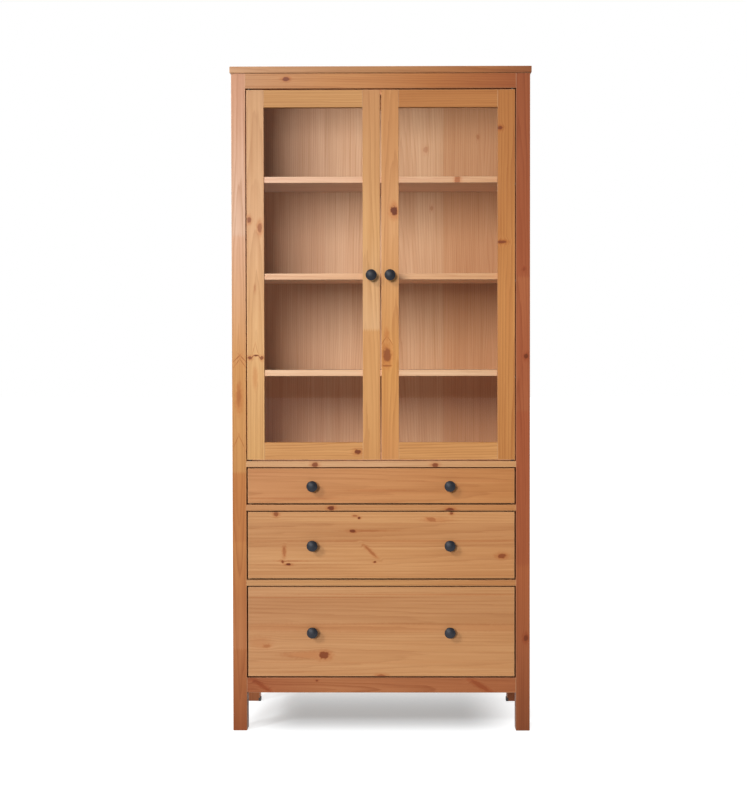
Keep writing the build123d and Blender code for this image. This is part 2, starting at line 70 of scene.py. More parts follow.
lens = bpy.data.cameras.new("photo lens")
lens.sensor_width = 36.0
lens.lens = focal_length_in_pixels / picture_height * lens.sensor_width
lens.shift_x = (picture_width / 2 - axis_in_picture[0]) / picture_height
lens.shift_y = (axis_in_picture[1] - picture_height / 2) / picture_height
camera = bpy.data.objects.new("photo camera", lens)
camera.matrix_world = (Matrix.Translation(camera_place)
                       @ Matrix.Rotation(turned_left, 4, "Z")
                       @ Matrix.Rotation(math.radians(90) - tilted_down, 4, "X")
                       @ Matrix.Rotation(rolled, 4, "Z"))
bpy.context.scene.collection.objects.link(camera)
bpy.context.scene.camera = camera
print("lens:", round(lens.lens, 2), "mm, shift", round(lens.shift_x, 4), round(lens.shift_y, 4))

# %% [markdown]
# ## Short calls for shader nodes
#
# Every finish below is a small network of shader nodes. Adding a node by hand takes one line for
# the node and one for each of its inputs, so a few helpers make that one short call. An input
# takes either a number or another node's output. Colours are written as they look on a screen,
# from 0 to 255, and turned into the linear values that Blender mixes light with.

# %% Helpers for nodes
def colour(red, green, blue):
    """A screen colour as Blender's linear colour."""
    def linear(value):
        share = value / 255
        return share / 12.92 if share <= 0.04045 else ((share + 0.055) / 1.055) ** 2.4
    return (linear(red), linear(green), linear(blue), 1.0)


def add(tree, kind, feeds=None, **settings):
    """A new shader node of this kind, with its settings and what feeds its inputs."""
    node = tree.nodes.new("ShaderNode" + kind)
    for name, value in settings.items():
        setattr(node, name, value)
    for name, value in (feeds or {}).items():
        if isinstance(value, bpy.types.NodeSocket):
            tree.links.new(value, node.inputs[name])
        else:
            node.inputs[name].default_value = value
    return node


def sum_up(tree, operation, *values, clamp=False):
    """The output of a Math node."""
    return add(tree, "Math", dict(enumerate(values)), operation=operation,
               use_clamp=clamp).outputs[0]


def ease(tree, value, low, high, at_low, at_high):
    """A smooth change from one number to another while value goes from low to high."""
    return add(tree, "MapRange", {"Value": value, "From Min": low, "From Max": high,
                                  "To Min": at_low, "To Max": at_high},
               interpolation_type="SMOOTHSTEP").outputs["Result"]


def blend(tree, share, first, second, how="MIX"):
    """A mix of two colours."""
    return add(tree, "Mix", {0: share, 6: first, 7: second}, data_type="RGBA",
               blend_type=how).outputs[2]


def new_group(name, inputs, outputs):
    """An empty node group with its named inputs and outputs."""
    group = bpy.data.node_groups.new(name, "ShaderNodeTree")
    for label, kind, value in inputs:
        socket = group.interface.new_socket(label, in_out="INPUT",
                                            socket_type="NodeSocket" + kind)
        if value is not None:
            socket.default_value = value
    for label, kind in outputs:
        group.interface.new_socket(label, in_out="OUTPUT", socket_type="NodeSocket" + kind)
    return (group, group.nodes.new("NodeGroupInput").outputs,
            group.nodes.new("NodeGroupOutput").inputs)


def place_group(tree, group, **feeds):
    """A node group placed in a material, with what feeds its inputs; spaces are underscores."""
    node = add(tree, "Group", None, node_tree=group)
    for name, value in feeds.items():
        socket = node.inputs[name.replace("_", " ")]
        if isinstance(value, bpy.types.NodeSocket):
            tree.links.new(value, socket)
        else:
            socket.default_value = value
    return node.outputs


print("helpers ready")

# %% [markdown]
# ## The studio
#
# The cabinet stands on white paper in soft light. Two kinds of shadow in the photograph say
# where the lamps were. The wood in front is lit evenly, with a soft shadow at the lower right
# of each knob, so those lamps were far away and to the left: here they are sun lamps with wide
# discs. Behind the glass the left fifth and the top of each space are dark, and more so in the
# lower spaces, so there a softbox stood near the cabinet, a little above its top. The world
# fills the shadows. The camera, mirrors and glass see it as plain white, while the wood is lit
# by a dimmer one, so its colours come out as they are written. Behind the camera a studio is
# darker than its backdrop, and the gloss on the front shows that darker side.

# %% Light from the world
studio = bpy.data.worlds.new("studio")
bpy.context.scene.world = studio
studio.use_nodes = True
tree = studio.node_tree
tree.nodes.clear()
ray = add(tree, "LightPath").outputs
toward = add(tree, "SeparateXYZ", {0: add(tree, "TexCoord").outputs["Generated"]}).outputs
behind_cabinet = ease(tree, toward["Y"], -0.3, 0.3, 0.0, 1.0)
mirrored = sum_up(tree, "MULTIPLY", ray["Is Glossy Ray"], behind_cabinet)
seen = sum_up(tree, "MAXIMUM", sum_up(tree, "MAXIMUM", ray["Is Camera Ray"],
                                      ray["Is Transmission Ray"]), mirrored)
fill_light = add(tree, "Background", {"Color": (1.0, 0.985, 0.97, 1.0), "Strength": 0.22})
white_paper = add(tree, "Background", {"Color": (1.0, 1.0, 1.0, 1.0), "Strength": 1.0})
shown = add(tree, "MixShader", {0: seen, 1: fill_light.outputs[0], 2: white_paper.outputs[0]})
add(tree, "OutputWorld", {"Surface": shown.outputs[0]})
bpy.context.scene.view_settings.view_transform = "Standard"
print("world light:", fill_light.inputs["Strength"].default_value)

# %% [markdown]
# The floor is one large sheet of paper. It reflects light onto the underside of the cabinet and
# takes its shadow. Only for the camera it glows as well, which lifts it to the white of the
# background. Under the cabinet the glow fades: a painted shadow on the floor that deepens the
# real one to a mid grey between the legs, darkest below the middle, gone just in front of the legs.

# %% The floor
def plain_sheet(name, size):
    """A flat square of this size on the floor."""
    shape = bmesh.new()
    bmesh.ops.create_grid(shape, x_segments=1, y_segments=1, size=size / 2)
    mesh = bpy.data.meshes.new(name)
    shape.to_mesh(mesh)
    shape.free()
    piece = bpy.data.objects.new(name, mesh)
    bpy.context.scene.collection.objects.link(piece)
    return piece


floor_paper = bpy.data.materials.new("floor paper")
floor_paper.use_nodes = True
tree = floor_paper.node_tree
tree.nodes.clear()
axes = add(tree, "SeparateXYZ", {0: add(tree, "TexCoord").outputs["Object"]}).outputs
ray = add(tree, "LightPath").outputs
mirrored = sum_up(tree, "MULTIPLY", ray["Is Glossy Ray"], ease(tree, axes["Y"], -2.5, -1.0, 0.2, 1.0))
seen = sum_up(tree, "MAXIMUM", sum_up(tree, "MAXIMUM", ray["Is Camera Ray"],
                                      ray["Is Transmission Ray"]), mirrored)
paper = add(tree, "BsdfPrincipled", {"Base Color": (0.56, 0.60, 0.63, 1.0), "Roughness": 0.95,
                                     "Specular IOR Level": 0.0})
# Painted shadow: where this mask reaches 1, under the cabinet, the glow is dimmed and the floor darkens beyond
# its real shadow.
painted_shadow_side_fade = ease(tree, sum_up(tree, "ABSOLUTE", axes["X"]), 0.24, 0.50, 1.0, 0.0)
painted_shadow_front_fade = ease(tree, axes["Y"], -0.25, -0.05, 0.0, 1.0)
painted_shadow_back_fade = ease(tree, axes["Y"], 0.0, 0.62, 1.0, 0.0)
painted_shadow_under_cabinet = sum_up(tree, "MULTIPLY", painted_shadow_side_fade, sum_up(tree, "MULTIPLY", painted_shadow_front_fade, painted_shadow_back_fade))
glow_less_painted_shadow = sum_up(tree, "MULTIPLY_ADD", painted_shadow_under_cabinet, -0.62, 0.92)
glow = add(tree, "Emission", {"Color": (1.0, 1.0, 1.0, 1.0),
                              "Strength": sum_up(tree, "MULTIPLY", seen, glow_less_painted_shadow)})
both = add(tree, "AddShader", {0: paper.outputs[0], 1: glow.outputs[0]})
add(tree, "OutputMaterial", {"Surface": both.outputs[0]})

floor = plain_sheet("floor", 60.0)
floor.data.materials.append(floor_paper)
print("floor:", floor.dimensions.x, "m wide")

# %% [markdown]
# Every lamp would light everything, and the stiles in the middle would throw a broad shadow on
# the back panel that the photograph doesn't show: its inside was lit with the doors open. Light
# linking says which pieces a lamp lights and which ones block it. The softbox lights only the
# inside and isn't blocked by the doors, and the sun lamps leave the inside alone. Three more sun
# lamps, from behind and from the right, light the back and the sides, which the camera doesn't
# see. They spare the floor, so that its shadow stays as it is.

# %% Lamps
inside = ["back_panel", "upper_shelf", "middle_shelf", "lower_shelf", "compartment_floor",
          "rear_top_rail", "shelf_pins", "door_stop"]
doors = [name for name in solids if name.startswith(("left_door", "right_door"))]


def lamp(name, kind, strength, place, turn, sizes, lit, blocking=()):
    """A lamp that lights or spares these solids and isn't blocked by those of the last list."""
    data = bpy.data.lights.new(name, kind)
    data.energy = strength
    data.color = (1.0, 0.99, 0.975)
    for setting, value in sizes.items():
        setattr(data, setting, value)
    shining = bpy.data.objects.new(name, data)
    shining.location = place
    shining.rotation_euler = turn
    shining.visible_camera = False
    bpy.context.scene.collection.objects.link(shining)
    for word, names, state in (("receiver", lit[0], lit[1]), ("blocker", blocking, "EXCLUDE")):
        group = bpy.data.collections.new(f"{name} {word}s")
        for number, solid in enumerate(names):
            group.objects.link(floor if solid == "floor" else solids[solid])
            group.collection_objects[number].light_linking.link_state = state
        if names:
            setattr(shining.light_linking, f"{word}_collection", group)
    print(name, "lights" if lit[1] == "INCLUDE" else "spares", len(lit[0]), "pieces")


def from_left_and_above(left, above):
    """The turn of a lamp that shines on the front from these angles."""
    return Euler((math.radians(90 - above), 0, math.radians(-left)), "XYZ")


softbox_place = Vector((-1.12, -1.78, 1.94))
softbox_turn = (Vector((0, 0.1, 1.35)) - softbox_place).to_track_quat("-Z", "Y").to_euler()
lamp("broad lamp", "SUN", 0.55 * math.pi, (-2, -6, 2.5), from_left_and_above(17, 14),
     {"angle": math.radians(14)}, (inside, "EXCLUDE"))
lamp("side lamp", "SUN", 0.38 * math.pi, (-4, -4, 4), from_left_and_above(45, 33),
     {"angle": math.radians(10)}, (inside, "EXCLUDE"))
lamp("softbox", "AREA", 70.0, softbox_place, softbox_turn,
     {"shape": "SQUARE", "size": 1.05}, (inside, "INCLUDE"), doors)
lamp("inside fill", "SUN", 0.2 * math.pi, (-2, -4, 1), from_left_and_above(22, -68),
     {"angle": math.radians(50)}, (inside, "INCLUDE"), [*solids, "floor"])
for name, turn in (("rear left lamp", 128), ("rear right lamp", -128), ("right lamp", -97)):
    lamp(name, "SUN", 0.42 * math.pi, (0, 4, 3), from_left_and_above(turn, 24),
         {"angle": math.radians(14)}, (["floor"] + inside[1:], "EXCLUDE"))

# %% [markdown]
# ## How pine grows
#
# A board's pattern is a slice through the trunk's growth rings. Each ring is a tube round the
# pith: pale early wood that darkens into a thin line of late wood. Where the slice runs
# alongside the pith the lines are straight, and where it leans across the rings they close into
# tall arches. A picture of wood would look right from one side only, so this group works out
# the ring at each point of the solid board. Its place is in the board's own axes: X across the
# grain, Y through the board and Z along the grain.

# %% The growth rings
growth_rings, given, made = new_group("growth rings", [
    ("Place", "Vector", None), ("Ring Width", "Float", 0.01), ("Pith Across", "Float", 0.0),
    ("Pith Behind", "Float", 0.05), ("Lean", "Float", 0.0), ("Wander", "Float", 0.02),
    ("Seed", "Float", 0.0)],
    [("Late Wood", "Float"), ("Tone", "Float"), ("Streaks", "Float"), ("Fibres", "Float")])
tree = growth_rings


def grain_noise(tree, place, seed, across, along, detail):
    """Noise that is stretched along the grain, with this many changes per metre each way."""
    stretched = add(tree, "VectorMath", {0: place, 1: (across, across, along)},
                    operation="MULTIPLY").outputs[0]
    return add(tree, "TexNoise", {"Vector": stretched, "W": seed, "Scale": 1.0,
                                  "Detail": detail, "Roughness": 0.55},
               noise_dimensions="4D").outputs


slow = grain_noise(tree, given["Place"], given["Seed"], 6.0, 1.6, 2.0)[1]
centred = add(tree, "VectorMath", {0: slow, 1: (0.5, 0.5, 0.5)}, operation="SUBTRACT").outputs[0]
drift = add(tree, "VectorMath", {0: centred, "Scale": given["Wander"]},
            operation="SCALE").outputs[0]
moved = add(tree, "VectorMath", {0: given["Place"], 1: drift}, operation="ADD").outputs[0]
axes = add(tree, "SeparateXYZ", {0: moved}).outputs
leaning = sum_up(tree, "MULTIPLY", axes["Z"], given["Lean"])
beside = sum_up(tree, "SUBTRACT", axes["X"], given["Pith Across"])
behind = sum_up(tree, "ADD", sum_up(tree, "ADD", axes["Y"], given["Pith Behind"]), leaning)
from_pith = sum_up(tree, "SQRT", sum_up(tree, "ADD", sum_up(tree, "MULTIPLY", beside, beside),
                                        sum_up(tree, "MULTIPLY", behind, behind)))
ragged = grain_noise(tree, given["Place"], given["Seed"], 110.0, 7.0, 3.0)[0]
count = sum_up(tree, "ADD", sum_up(tree, "DIVIDE", from_pith, given["Ring Width"]),
               sum_up(tree, "MULTIPLY", ragged, 0.9))
in_ring = sum_up(tree, "FRACT", count)
strength = add(tree, "TexWhiteNoise", {"W": sum_up(tree, "FLOOR", count)},
               noise_dimensions="1D").outputs["Value"]
darkening = sum_up(tree, "POWER", in_ring, 2.4)
ring_end = ease(tree, in_ring, 0.9, 1.0, 1.0, 0.0)
line = sum_up(tree, "MULTIPLY", darkening, ring_end)
tree.links.new(sum_up(tree, "MULTIPLY", line, sum_up(tree, "MULTIPLY_ADD", strength, 0.6, 0.4)),
               made["Late Wood"])
tree.links.new(ease(tree, grain_noise(tree, given["Place"], given["Seed"], 16.0, 1.3, 3.0)[0],
                    0.3, 0.7, 0.0, 1.0), made["Tone"])
tree.links.new(ease(tree, grain_noise(tree, given["Place"], given["Seed"], 170.0, 2.6, 4.0)[0],
                    0.3, 0.7, 0.0, 1.0), made["Streaks"])
tree.links.new(grain_noise(tree, given["Place"], given["Seed"], 1400.0, 40.0, 2.0)[0],
               made["Fibres"])
print("growth rings:", len(growth_rings.nodes), "nodes")

# %% [markdown]
# ## Knots
#
# A knot is a branch that was cut through. The rings part round it and the wood near it is
# redder. One group holds one knot: it squeezes the pattern towards the knot, so that the rings
# bend round it, and it adds its dark core and its halo to those of the knots before it. Knots
# can so be chained, one group after the other. A core of 0 leaves only a reddish mark, and a
# slanted one makes the strokes of a flame or a chevron where a branch lay along the board.

# %% One knot
one_knot, given, made = new_group("one knot", [
    ("Place", "Vector", None), ("Core", "Float", 0.0), ("Halo", "Float", 0.0),
    ("Knot", "Vector", None), ("Half Across", "Float", 0.005), ("Half Along", "Float", 0.005),
    ("Darkness", "Float", 1.0), ("Slant", "Float", 0.0), ("Redness", "Float", 1.0)],
    [("Place", "Vector"), ("Core", "Float"), ("Halo", "Float")])
tree = one_knot
offset = add(tree, "VectorMath", {0: given["Place"], 1: given["Knot"]},
             operation="SUBTRACT").outputs[0]
axes = add(tree, "SeparateXYZ", {0: offset}).outputs
uneven = sum_up(tree, "MULTIPLY_ADD", grain_noise(tree, given["Place"], 3.0, 130.0, 110.0, 2.0)[0],
                0.9, -0.45)


def spread(tree, across, along):
    """How far a point is from the knot, where 1 is this many of its half sizes."""
    x = sum_up(tree, "DIVIDE", axes["X"], sum_up(tree, "MULTIPLY", given["Half Across"], across))
    slanted = sum_up(tree, "SUBTRACT", axes["Z"], sum_up(tree, "MULTIPLY", axes["X"],
                                                         given["Slant"]))
    z = sum_up(tree, "DIVIDE", slanted, sum_up(tree, "MULTIPLY", given["Half Along"], along))
    return sum_up(tree, "SQRT", sum_up(tree, "ADD", sum_up(tree, "MULTIPLY", x, x),
                                       sum_up(tree, "MULTIPLY", z, z)))


core = ease(tree, sum_up(tree, "ADD", spread(tree, 1.25, 1.25), uneven), 0.7, 1.15, 1.0, 0.0)
halo = ease(tree, sum_up(tree, "ADD", spread(tree, 2.2, 2.6), uneven), 0.3, 1.2, 1.0, 0.0)
squeeze = ease(tree, spread(tree, 3.2, 5.0), 0.0, 1.0, 0.75, 0.0)
pulled = add(tree, "CombineXYZ", {"X": sum_up(tree, "MULTIPLY", axes["X"], squeeze)}).outputs[0]
tree.links.new(add(tree, "VectorMath", {0: given["Place"], 1: pulled},
                   operation="SUBTRACT").outputs[0], made["Place"])
tree.links.new(sum_up(tree, "MAXIMUM", given["Core"],
                      sum_up(tree, "MULTIPLY", core, given["Darkness"])), made["Core"])
tree.links.new(sum_up(tree, "MAXIMUM", given["Halo"],
                      sum_up(tree, "MULTIPLY", halo, given["Redness"])), made["Halo"])
print("one knot:", len(one_knot.nodes), "nodes")

# %% [markdown]
# ## Glued staves
#
# Drawer fronts, the top and the shelves are too wide for one pine board, so they are glued up
# from staves. Each stave comes from another place in another tree. This group finds which stave
# a point is in, gives each its own tone, and moves the pattern by a chance amount, so that the
# grain breaks off at the glue line.

# %% Staves
glued_staves, given, made = new_group("glued staves", [
    ("Place", "Vector", None), ("Stave Width", "Float", 0.08), ("First Joint", "Float", 0.0),
    ("Seed", "Float", 0.0)], [("Place", "Vector"), ("Tone", "Float"), ("Glue Line", "Float")])
tree = glued_staves
axes = add(tree, "SeparateXYZ", {0: given["Place"]}).outputs
position = sum_up(tree, "DIVIDE", sum_up(tree, "SUBTRACT", axes["X"], given["First Joint"]),
                  given["Stave Width"])
number = sum_up(tree, "FLOOR", position)
chance = add(tree, "TexWhiteNoise", {"W": sum_up(tree, "ADD", number, given["Seed"])},
             noise_dimensions="1D").outputs
jump = add(tree, "VectorMath", {0: chance["Color"], 1: (0.5, 0.5, 0.5)},
           operation="SUBTRACT").outputs[0]
jump = add(tree, "VectorMath", {0: jump, 1: (0.12, 0.05, 3.0)}, operation="MULTIPLY").outputs[0]
tree.links.new(add(tree, "VectorMath", {0: given["Place"], 1: jump},
                   operation="ADD").outputs[0], made["Place"])
tree.links.new(chance["Value"], made["Tone"])
in_stave = sum_up(tree, "PINGPONG", position, 0.5)
tree.links.new(ease(tree, sum_up(tree, "MULTIPLY", in_stave, given["Stave Width"]),
                    0.0, 0.0007, 1.0, 0.0), made["Glue Line"])
print("glued staves:", len(glued_staves.nodes), "nodes")

# %% [markdown]
# ## Edges and colours
#
# Hands and cloths polish the edges of a board first, so they turn a little paler; the paler edge
# is also a painted highlight, standing in for the light that catches on a rounded arris. The distance
# to the nearest edge could be baked or painted, but a board is a box, and for a box it is short
# arithmetic: of the three distances to its faces, the middle one. The last group mixes all of
# this into the colour, the roughness and the height of oiled pine.

# %% Board edges
board_edges, given, made = new_group("board edges", [
    ("Place", "Vector", None), ("Half Size", "Vector", None), ("Width", "Float", 0.002)],
    [("Edge", "Float")])
tree = board_edges
inside = add(tree, "VectorMath", {0: given["Half Size"], 1: add(
    tree, "VectorMath", {0: given["Place"]}, operation="ABSOLUTE").outputs[0]},
    operation="SUBTRACT").outputs[0]
axes = add(tree, "SeparateXYZ", {0: inside}).outputs
nearer = sum_up(tree, "MINIMUM", axes["X"], axes["Y"])
farther = sum_up(tree, "MAXIMUM", axes["X"], axes["Y"])
middle = sum_up(tree, "MAXIMUM", nearer, sum_up(tree, "MINIMUM", farther, axes["Z"]))
tree.links.new(ease(tree, middle, 0.0, given["Width"], 1.0, 0.0), made["Edge"])
print("board edges:", len(board_edges.nodes), "nodes")

# %% Colours of oiled pine
oiled_pine, given, made = new_group("oiled pine", [
    ("Early Wood", "Color", None), ("Late Wood", "Float", 0.0), ("Tone", "Float", 0.5),
    ("Streaks", "Float", 0.5), ("Fibres", "Float", 0.5), ("Stave", "Float", 0.5),
    ("Glue Line", "Float", 0.0), ("Core", "Float", 0.0), ("Halo", "Float", 0.0),
    ("Edge", "Float", 0.0), ("Contrast", "Float", 0.5)],
    [("Color", "Color"), ("Roughness", "Float"), ("Height", "Float")])
tree = oiled_pine
wood = blend(tree, sum_up(tree, "MULTIPLY", given["Tone"], 0.7), given["Early Wood"],
             (0.86, 0.78, 0.70, 1.0), "MULTIPLY")
wood = blend(tree, sum_up(tree, "MULTIPLY", given["Streaks"], 0.7), wood,
             (0.86, 0.77, 0.68, 1.0), "MULTIPLY")
wood = blend(tree, sum_up(tree, "MULTIPLY", given["Stave"], 0.55), wood,
             (0.84, 0.76, 0.72, 1.0), "MULTIPLY")
wood = blend(tree, sum_up(tree, "MULTIPLY", given["Late Wood"], given["Contrast"]), wood,
             (0.56, 0.36, 0.22, 1.0), "MULTIPLY")
wood = blend(tree, sum_up(tree, "MULTIPLY", given["Fibres"], 0.25), wood,
             (0.80, 0.74, 0.68, 1.0), "MULTIPLY")
wood = blend(tree, sum_up(tree, "MULTIPLY", given["Halo"], 0.7), wood,
             (0.82, 0.55, 0.38, 1.0), "MULTIPLY")
wood = blend(tree, given["Core"], wood, colour(134, 62, 26))
heart = sum_up(tree, "MULTIPLY", sum_up(tree, "POWER", given["Core"], 5.0), 0.6)
wood = blend(tree, heart, wood, colour(74, 26, 8))
wood = blend(tree, sum_up(tree, "MULTIPLY", given["Glue Line"], 0.35), wood,
             (0.62, 0.45, 0.35, 1.0), "MULTIPLY")
# Paler edges: partly rubbed wear, partly a painted highlight along the arrises.
wood = blend(tree, sum_up(tree, "MULTIPLY", given["Edge"], 0.25), wood, colour(236, 200, 160))
tree.links.new(wood, made["Color"])
dull = sum_up(tree, "MULTIPLY_ADD", given["Fibres"], 0.22, 0.36)
polished = sum_up(tree, "MULTIPLY_ADD", given["Edge"], -0.08, dull)
tree.links.new(sum_up(tree, "MULTIPLY_ADD", given["Core"], -0.08, polished), made["Roughness"])
relief = sum_up(tree, "MULTIPLY_ADD", given["Late Wood"], 0.6, sum_up(
    tree, "MULTIPLY", given["Fibres"], 0.4))
tree.links.new(sum_up(tree, "MULTIPLY_ADD", given["Core"], 0.3, relief), made["Height"])
print("oiled pine:", len(oiled_pine.nodes), "nodes")

# %% [markdown]
# ## A finish for each board
#
# No two boards of the cabinet match: the left post is pale and pink at its top, the right one
# is dark and red, and the posts are finger jointed from shorter lengths whose tones differ. One
# function makes a board's finish from its own values. A Mapping node puts the middle of the
# board at zero and turns the pattern so that Z runs along its grain. The tones are a colour
# ramp along the board, and at a finger joint two stops lie close together.

# %% The function for pine
UPRIGHT = (0, 0, 0)
LEVEL = (0, math.radians(90), 0)
FLAT = (math.radians(90), 0, math.radians(90))
UPRIGHT_SIDE = (0, 0, math.radians(-90))
FRONT_TO_BACK = (0, math.radians(-90), math.radians(-90))
AXIS_OF_GRAIN = {UPRIGHT: 2, LEVEL: 0, FLAT: 0, UPRIGHT_SIDE: 2, FRONT_TO_BACK: 1}


def tone_ramp(tree, object_place, tones, axis, teeth):
    """The colour of early wood along one axis of the cabinet, from (millimetres, colour)."""
    axes = add(tree, "SeparateXYZ", {0: object_place}).outputs
    along = axes[axis]
    if teeth:
        zigzag = sum_up(tree, "PINGPONG", axes[0 if axis == 2 else 2], 0.0035)
        along = sum_up(tree, "MULTIPLY_ADD", zigzag, 2.0, along)
    low, high = tones[0][0] * MM - 0.001, tones[-1][0] * MM + 0.001
    share = add(tree, "MapRange", {"Value": along, "From Min": low, "From Max": high})
    ramp = add(tree, "ValToRGB", {0: share.outputs[0]})
    stops = ramp.color_ramp.elements
    while len(stops) < len(tones):
        stops.new(0.5)
    for stop, (place, tone) in zip(stops, tones):
        stop.position = (place * MM - low) / (high - low)
    for stop, (place, tone) in zip(stops, tones):
        stop.color = colour(*tone)
    return ramp.outputs[0]


def pine(board, grain, tones, seed, ring=9.0, pith=(0.0, 60.0), lean=0.0, wander=25.0,
         contrast=0.7, knots=(), staves=None, tone_axis=None, teeth=False):
    """The finish of one board, in millimetres.

    A knot is (x, z, width, height, darkness) and may go on with its slant and redness. On a
    board that lies flat its second number is the depth, y, and its width is taken there.
    """
    low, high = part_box(board)
    centre, half = (low + high) / 2, (high - low) / 2
    turn = Euler(grain, "XYZ").to_matrix()
    half_here = Vector(abs(v) for v in turn.transposed() @ half)
    material = bpy.data.materials.new("pine " + board.replace("_", " "))
    material.use_nodes = True
    tree = material.node_tree
    tree.nodes.clear()
    object_place = add(tree, "TexCoord").outputs["Object"]
    place = add(tree, "Mapping", {"Vector": object_place, "Location": centre,
                                  "Rotation": grain}, vector_type="TEXTURE").outputs[0]
    edge = place_group(tree, board_edges, Place=place, Half_Size=half_here)["Edge"]
    early = tone_ramp(tree, object_place, tones,
                      AXIS_OF_GRAIN[grain] if tone_axis is None else tone_axis, teeth)
    stave_tone, glue = 0.4, 0.0
    if staves:
        joined = place_group(tree, glued_staves, Place=place, Stave_Width=staves[0] * MM,
                             First_Joint=staves[1] * MM, Seed=seed)
        place, stave_tone, glue = joined["Place"], joined["Tone"], joined["Glue Line"]
    core, halo = 0.0, 0.0
    knot_place = place if not staves else add(
        tree, "Mapping", {"Vector": object_place, "Location": centre, "Rotation": grain},
        vector_type="TEXTURE").outputs[0]
    bent = knot_place
    for x, z, width, height, darkness, *rest in knots:
        slant, redness = (tuple(rest) + (0.0, 1.0)[len(rest):])
        spot = (x * MM, z * MM, centre.z) if grain == FLAT else (x * MM, centre.y, z * MM)
        here = turn.transposed() @ (Vector(spot) - centre)
        across, along = (height, width) if grain == LEVEL else (width, height)
        after = place_group(tree, one_knot, Place=bent, Core=core, Halo=halo, Knot=here,
                            Half_Across=across * MM / 2, Half_Along=along * MM / 2,
                            Darkness=darkness, Slant=slant, Redness=redness)
        bent, core, halo = after["Place"], after["Core"], after["Halo"]
    if staves and knots:
        shift = add(tree, "VectorMath", {0: bent, 1: knot_place},
                    operation="SUBTRACT").outputs[0]
        place = add(tree, "VectorMath", {0: place, 1: shift}, operation="ADD").outputs[0]
    elif knots:
        place = bent
    rings = place_group(tree, growth_rings, Place=place, Ring_Width=ring * MM,
                        Pith_Across=pith[0] * MM, Pith_Behind=pith[1] * MM, Lean=lean,
                        Wander=wander * MM, Seed=seed)
    mixed = place_group(tree, oiled_pine, Early_Wood=early, Late_Wood=rings["Late Wood"],
                        Tone=rings["Tone"], Streaks=rings["Streaks"], Fibres=rings["Fibres"],
                        Stave=stave_tone, Glue_Line=glue, Core=core, Halo=halo, Edge=edge,
                        Contrast=contrast)
    bump = add(tree, "Bump", {"Strength": 0.25, "Distance": 0.0006, "Height": mixed["Height"]})
    surface = add(tree, "BsdfPrincipled", {
        "Base Color": mixed["Color"], "Roughness": mixed["Roughness"],
        "Normal": bump.outputs[0], "Specular IOR Level": 0.22})
    add(tree, "OutputMaterial", {"Surface": surface.outputs[0]})
    return material


def finish(material, *names):
    """Give these solids their material."""
    for name in names:
        for slot in solids[name].material_slots:
            slot.material = material


print("grain directions:", len(AXIS_OF_GRAIN))

# %% [markdown]
# ## The top and the posts
#
# The eye finds the cabinet's outline by these pieces. The top fades from a warm sand colour on
# the left to brown on the right. The left post has six jointed lengths, the pale ones above and
# the red ones at the foot, with arches and flames in its grain beside the doors. The right post
# is dark along its whole height.

# %% Top panel and top rail
finish(pine("top_panel", FLAT, [(-450, (224, 177, 137)), (0, (196, 143, 94)),
                                (300, (180, 117, 67)), (450, (152, 91, 52))],
            seed=1.3, ring=7.0, pith=(20, 70), lean=0.05, contrast=0.65, staves=(74, -20)),
       "top_panel")
finish(pine("front_top_rail", LEVEL, [(-404, (218, 166, 122)), (-150, (218, 158, 101)),
                                      (150, (194, 125, 66)), (404, (170, 96, 51))],
            seed=2.1, ring=6.0, pith=(30, 40), lean=0.02, contrast=0.6,
            knots=[(-282, 1953, 16, 11, 0.85)]),
       "front_top_rail")

# %% Posts
left_tones = [(0, (150, 83, 46)), (246, (183, 116, 68)), (249, (191, 127, 81)),
              (409, (192, 127, 76)), (412, (193, 127, 75)), (574, (208, 144, 84)),
              (577, (201, 134, 77)), (779, (208, 140, 78)), (782, (217, 160, 96)),
              (1100, (228, 169, 103)), (1491, (243, 196, 164)), (1494, (246, 208, 181)),
              (1970, (227, 172, 139))]
right_tones = [(0, (136, 77, 43)), (250, (165, 97, 59)), (499, (178, 104, 62)),
               (502, (170, 95, 57)), (964, (171, 91, 53)), (967, (174, 99, 60)),
               (1150, (174, 96, 57)), (1367, (186, 111, 68)), (1370, (176, 97, 57)),
               (1970, (165, 91, 51))]
finish(pine("front_left_post", UPRIGHT, left_tones, seed=3.7, ring=7.5, pith=(2, 16),
            lean=0.03, wander=30, contrast=0.55, teeth=True,
            knots=[(-430, 1122, 16, 3, 0.45, 1.0), (-414, 1121, 16, 3, 0.45, -1.0),
                   (-430, 1108, 15, 2.5, 0.35, 1.4), (-414, 1107, 15, 2.5, 0.35, -1.4),
                   (-426, 1000, 13, 46, 0.15), (-434, 872, 13, 3, 0.25, 2.2),
                   (-418, 872, 13, 3, 0.25, -2.2)]),
       "front_left_post")
finish(pine("front_right_post", UPRIGHT, right_tones, seed=4.9, ring=6.0, pith=(-14, 34),
            lean=0.02, wander=18, contrast=0.65, teeth=True,
            knots=[(434, 1126, 12, 14, 0.95), (434, 280, 13, 18, 0.95),
                   (428, 1386, 7, 9, 0.6)]),
       "front_right_post")
finish(pine("rear_left_post", UPRIGHT, [(0, (146, 88, 52))] + left_tones[2:], seed=5.2, ring=6.5, pith=(-20, 30),
            lean=0.02, teeth=True), "rear_left_post")
finish(pine("rear_right_post", UPRIGHT, right_tones, seed=6.4, ring=6.5, pith=(16, 30),
            lean=0.02, teeth=True), "rear_right_post")
print("left post tones:", len(left_tones), "right post tones:", len(right_tones))

# %% [markdown]
# ## Rails
#
# The thin rails between the doors and the drawers are pale, with half knots where the saw
# cut through them. The rail at the bottom is redder, with slanted marks near both ends.

